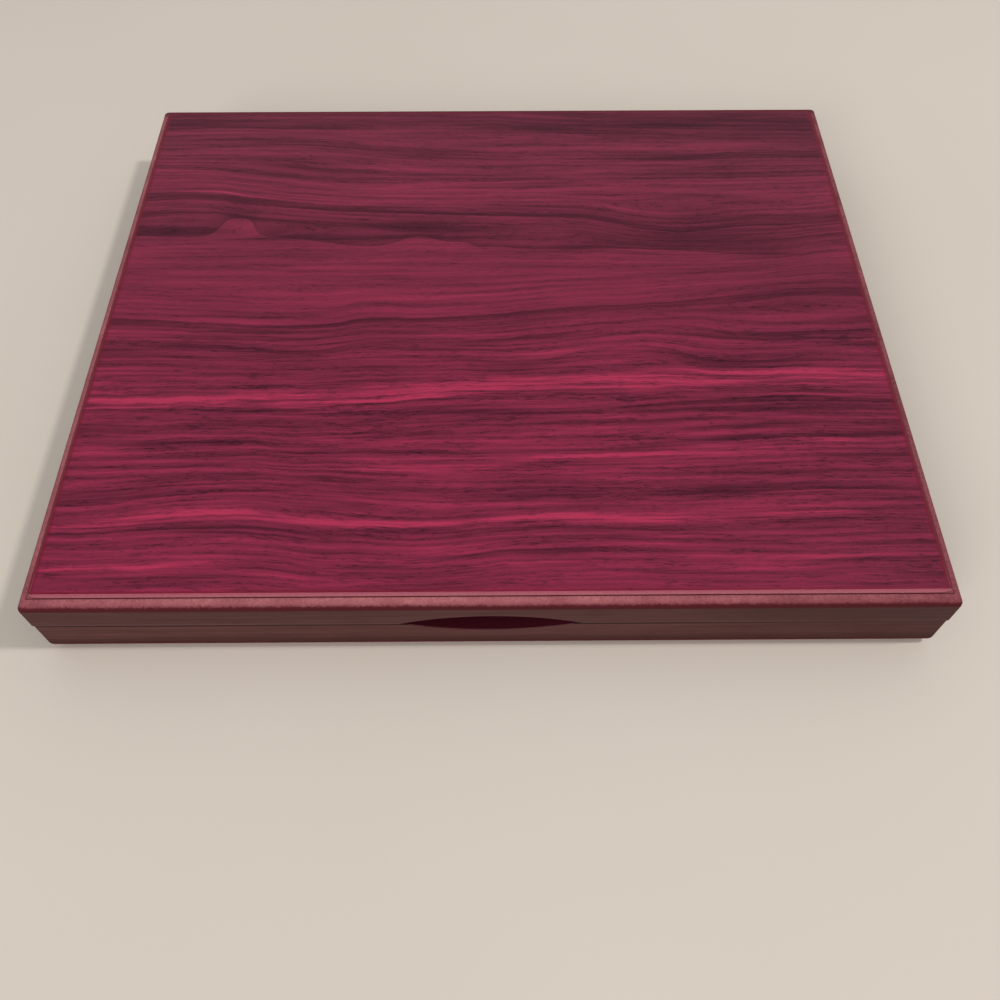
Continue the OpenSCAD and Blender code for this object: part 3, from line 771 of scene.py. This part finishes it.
def swept_sheet(group, node, body, up, finish, seed):
    low, high = box_mm(node)
    thickness = high.z - low.z
    sheet = grown(group, f"{node}_print", half_section(f"{node}_section", sheet_section(thickness)), {
        "Width": (high.x - low.x) * MM, "Depth": (high.y - low.y) * MM,
        "Corner Radius": SHEET_CORNER_R * MM, "Spacing": SWEEP_SPACING * MM, "Ragged Inset": 0.0,
        "Ragged Reach": SHEET_RAGGED * MM, "Nap": 0.0, "Nap Inset": 0.0, "Seed": seed,
        "Sanding": SHEET_SANDING * MM, "Finish": finish,
    })
    closed_board(sheet, low.z if up > 0 else high.z, up)
    return fitted(sheet, body, "grain_sheet", node)


def fitted(piece, body, slot, *nodes):
    """Ties a piece to its body and hides the nodes it stands for; the material slot is not used."""
    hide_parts(*nodes)
    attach(piece, body)
    return piece


# Padded panels

def panel_blank(name, low, high, up, edge_r, rise):
    """Closed blank of a padded panel, in metres: flat on its board, thinner than when it is stuffed."""
    half = Vector(((high.x - low.x) / 2, (high.y - low.y) / 2))
    middle = Vector(((high.x + low.x) / 2, (high.y + low.y) / 2))
    seat_z = low.z if up > 0 else high.z
    work = bmesh.new()
    bmesh.ops.create_cube(work, size=1.0)
    for vert in work.verts:
        vert.co.x = middle.x + vert.co.x * 2 * half.x
        vert.co.y = middle.y + vert.co.y * 2 * half.y
        vert.co.z = seat_z + (vert.co.z + 0.5) * rise * up
    upright = [e for e in work.edges if abs(e.verts[0].co.z - e.verts[1].co.z) > 1e-6]
    bmesh.ops.bevel(work, geom=upright, offset=PANEL_CORNER_R, segments=5, profile=0.5, affect="EDGES")
    top_z = seat_z + rise * up
    rim = [e for e in work.edges if all(abs(v.co.z - top_z) < 1e-6 for v in e.verts)]
    bmesh.ops.bevel(work, geom=rim, offset=edge_r, segments=5, profile=0.5, affect="EDGES")
    bmesh.ops.scale(work, vec=(MM, MM, MM), verts=work.verts)
    bmesh.ops.recalc_face_normals(work, faces=work.faces)
    mesh = bpy.data.meshes.new(name)
    work.to_mesh(mesh)
    work.free()
    piece = bpy.data.objects.new(name, mesh)
    bpy.context.scene.collection.objects.link(piece)
    return piece


def evaluated_copy(piece):
    depsgraph = bpy.context.evaluated_depsgraph_get()
    return bpy.data.meshes.new_from_object(piece.evaluated_get(depsgraph))


def stuffed(piece, seat_z, up, voxel, crown, band):
    """Lets pressure swell the cloth. It is held where it is glued under the card and up its lower band."""
    remesh = piece.modifiers.new("even_cloth", "REMESH")
    remesh.mode = "VOXEL"
    remesh.voxel_size = voxel * MM
    plain = evaluated_copy(piece)
    piece.modifiers.remove(remesh)
    piece.data = plain
    start = [v.co.copy() for v in plain.vertices]
    held = piece.vertex_groups.new(name="held")
    for vert in plain.vertices:
        over = (vert.co.z / MM - seat_z) * up
        held.add([vert.index], 1.0 if over < band else 0.0, "REPLACE")
    cloth = piece.modifiers.new("cloth", "CLOTH")
    cloth.settings.quality = 5
    cloth.settings.mass = 0.25
    cloth.settings.tension_stiffness = 12
    cloth.settings.compression_stiffness = 12
    cloth.settings.bending_stiffness = 0.4
    cloth.settings.vertex_group_mass = held.name
    cloth.settings.use_pressure = True
    cloth.settings.uniform_pressure_force = CLOTH_PRESSURE
    cloth.settings.effector_weights.gravity = 0.0
    cloth.point_cache.frame_start = 1
    cloth.point_cache.frame_end = CLOTH_FRAMES
    for step in range(1, CLOTH_FRAMES + 1):
        bpy.context.scene.frame_set(step)
    swollen = evaluated_copy(piece)
    piece.modifiers.remove(cloth)
    bpy.context.scene.frame_set(1)
    for vert, rest in zip(swollen.vertices, start):
        move = (vert.co - rest) / MM
        if move.length > 1e-6:
            move *= crown * math.tanh(move.length / crown) / move.length
        vert.co = rest + move * MM
    piece.data = swollen
    piece.vertex_groups.clear()
    return piece


def padded_panel(name, body, up, finish, slot, low, high, voxel, edge_r, crown, nodes):
    """A velvet panel: swollen over its foam, drawn in between its corners, with gathers at them."""
    seat_z = low.z if up > 0 else high.z
    thickness = high.z - low.z
    panel = panel_blank(name, low, high, up, edge_r, thickness - crown)
    stuffed(panel, seat_z, up, voxel, crown, band=thickness * 0.2)
    half_x = (high.x - low.x) / 2
    half_y = (high.y - low.y) / 2
    for vert in panel.data.vertices:
        x, y, z = vert.co / MM
        over = max(0.0, min(1.0, (z - seat_z) * up / thickness))
        lean = over ** 2
        run_x = math.cos(min(1.0, abs(x) / half_x) * math.pi / 2)
        run_y = math.cos(min(1.0, abs(y) / half_y) * math.pi / 2)
        x -= math.copysign(DRAW_IN * lean * run_y * (abs(x) / half_x) ** DRAW_SHARPNESS, x)
        y -= math.copysign(DRAW_IN * lean * run_x * (abs(y) / half_y) ** DRAW_SHARPNESS, y)
        to_corner = math.hypot(half_x - abs(x), half_y - abs(y))
        bearing = math.atan2(half_y - abs(y) + 3, half_x - abs(x) + 3)
        gather = GATHER_DEPTH * math.exp(-((to_corner - GATHER_FROM) / GATHER_REACH) ** 2) * lean
        z -= up * gather * (0.5 + 0.5 * math.cos(bearing * GATHERS * 4))
        z -= up * SLACK * lean * (1 + noise.noise(Vector((x, y, z)) / SLACK_SPAN))
        vert.co = Vector((x, y, z)) * MM
    panel.data.materials.clear()
    panel.data.materials.append(finish)
    soften = panel.modifiers.new("soften", "SUBSURF")
    soften.levels = soften.render_levels = 1
    smooth = evaluated_copy(panel)
    panel.modifiers.remove(soften)
    panel.data = smooth
    panel.data.shade_smooth()
    fitted(panel, body, slot, *nodes)
    return panel


PANEL_CORNER_R = 2.4
CLOTH_PRESSURE = 4.0
CLOTH_FRAMES = 20
DRAW_IN = 1.2
DRAW_SHARPNESS = 8
GATHERS = 5
GATHER_DEPTH = 0.5
GATHER_FROM = 6
GATHER_REACH = 9
SLACK = 0.12
SLACK_SPAN = 17


# Camera, light and floor

CAMERA_PLACE = Vector((2.018, -264.038, 300.563)) * MM
CAMERA_PITCH = math.radians(56.86)
CAMERA_YAW = math.radians(0.37)
CAMERA_ROLL = math.radians(-0.03)
FOCAL_PX = 954.7
PHOTO_PX = 1000
SENSOR_MM = 36

# Places and sizes of the light and the floor are in metres.
SKY_STRENGTH = 0.54
CASE_MIDDLE = (0.0, 0.0, 0.0)
FLOOR_HALF = 4.0


def photo_camera():
    data = bpy.data.cameras.new("camera")
    data.sensor_width = SENSOR_MM
    data.lens = FOCAL_PX / PHOTO_PX * SENSOR_MM
    data.clip_start = 0.01
    camera = bpy.data.objects.new("camera", data)
    camera.location = CAMERA_PLACE
    turn = Matrix.Rotation(-CAMERA_YAW, 4, "Z") @ Matrix.Rotation(math.pi / 2 - CAMERA_PITCH, 4, "X")
    camera.rotation_euler = (turn @ Matrix.Rotation(CAMERA_ROLL, 4, "Z")).to_euler()
    bpy.context.scene.collection.objects.link(camera)
    bpy.context.scene.camera = camera


def soft_lamp(name, place, size, power, tint):
    """A round lamp turned towards the middle of the case."""
    data = bpy.data.lights.new(name, "AREA")
    data.shape = "DISK"
    data.size = size
    data.energy = power
    data.color = tint
    lamp = bpy.data.objects.new(name, data)
    lamp.location = place
    lamp.rotation_euler = (Vector(CASE_MIDDLE) - Vector(place)).to_track_quat("-Z", "Y").to_euler()
    bpy.context.scene.collection.objects.link(lamp)


def studio():
    world = bpy.data.worlds.new("studio")
    world.use_nodes = True
    tree = Tree(world.node_tree)
    sky = tree.add("ShaderNodeBackground", sockets={"Color": (1.0, 1.0, 1.0, 1.0), "Strength": SKY_STRENGTH})
    tree.add("ShaderNodeOutputWorld", sockets={"Surface": sky})
    bpy.context.scene.world = world
    soft_lamp("key_lamp", (1.31, -0.15, 1.9), size=0.2, power=20.0, tint=(1.0, 0.985, 0.965))
    soft_lamp("fill_lamp", (-0.8, -1.5, 1.0), size=0.8, power=11.5, tint=(0.98, 0.985, 1.0))

    floor = Finish("pale_floor", specular_ior_level=0.2)
    dusting = floor.noise(floor.place, scale=0.004, detail=3)
    colour = floor.mix(dusting, srgb(208, 197, 184), srgb(215, 205, 194))
    material = floor.close(colour, 0.7 + (dusting - 0.5) * 0.1)
    mesh = bpy.data.meshes.new("floor")
    far = FLOOR_HALF
    corners = [(-far, -far, 0), (far, -far, 0), (far, far, 0), (-far, far, 0)]
    mesh.from_pydata(corners, [], [(0, 1, 2, 3)])
    mesh.materials.append(material)
    ground = bpy.data.objects.new("floor", mesh)
    bpy.context.scene.collection.objects.link(ground)
    bpy.context.scene.view_settings.view_transform = "Standard"


# Everything in its place

def dress(nodes, finish):
    """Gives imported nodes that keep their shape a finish."""
    for name in nodes:
        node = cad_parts[name]
        node.data.materials.clear()
        node.data.materials.append(finish)


def build():
    for shell, warmth in (("lid", 0.15), ("base", 0.75)):
        dress([f"{shell}_front_rail", f"{shell}_back_rail"], rail_wrap(f"{shell}_wrap", "X", warmth))
        dress([f"{shell}_left_rail", f"{shell}_right_rail"], rail_wrap(f"{shell}_side_wrap", "Y", warmth))
        dress([f"{shell}_magnets"], plated_magnet())
    hinge_parts = ("base_leaf", "lid_leaf", "pin")
    leaves = [f"{side}_hinge_{part}" for side in ("left", "right") for part in hinge_parts]
    dress(leaves, plated_brass("hinge_brass", 0.28))
    dress(["base_hinge_screws", "lid_hinge_screws"], plated_brass("screw_brass", 0.22))
    dress(["pad_card", "lining_card"], backing_card())
    dress(["pad_foam", "lining_foam"], soft_foam())

    group = sweep_tree()
    top_print = grain_sheet("top_print", LID_SHEET_HIGH.x, LID_SHEET_HIGH.y, False)
    under_print = grain_sheet("under_print", BASE_SHEET_HIGH.x, BASE_SHEET_HIGH.y, True)
    lid_rout = routed_board("lid_rout", LID_BOARD_LOW, LID_BOARD_HIGH, 1)
    base_rout = routed_board("base_rout", BASE_BOARD_LOW, BASE_BOARD_HIGH, -1)
    swept_board(group, "lid_board", "lid", 1, lid_rout, 1.0)
    swept_board(group, "base_board", "base", -1, base_rout, 2.0)
    swept_sheet(group, "lid_sheet", "lid", 1, top_print, 3.0)
    swept_sheet(group, "base_sheet", "base", -1, under_print, 4.0)

    padded_panel(
        "pad_velvet", "base", 1, velvet("velvet", srgb(40, 8, 14), srgb(104, 30, 42)), "velvet",
        PAD_LOW, PAD_HIGH, voxel=4.0, edge_r=3.0, crown=1.6, nodes=("pad_cover", "pad_foam"),
    )
    padded_panel(
        "lining_velvet", "lid", -1, velvet("lining_velvet", srgb(46, 10, 16), srgb(112, 34, 46)),
        "lining_velvet", LINING_LOW, LINING_HIGH, voxel=2.4, edge_r=1.5, crown=0.7,
        nodes=("lining_cover", "lining_foam"),
    )


photo_camera()
studio()
build()
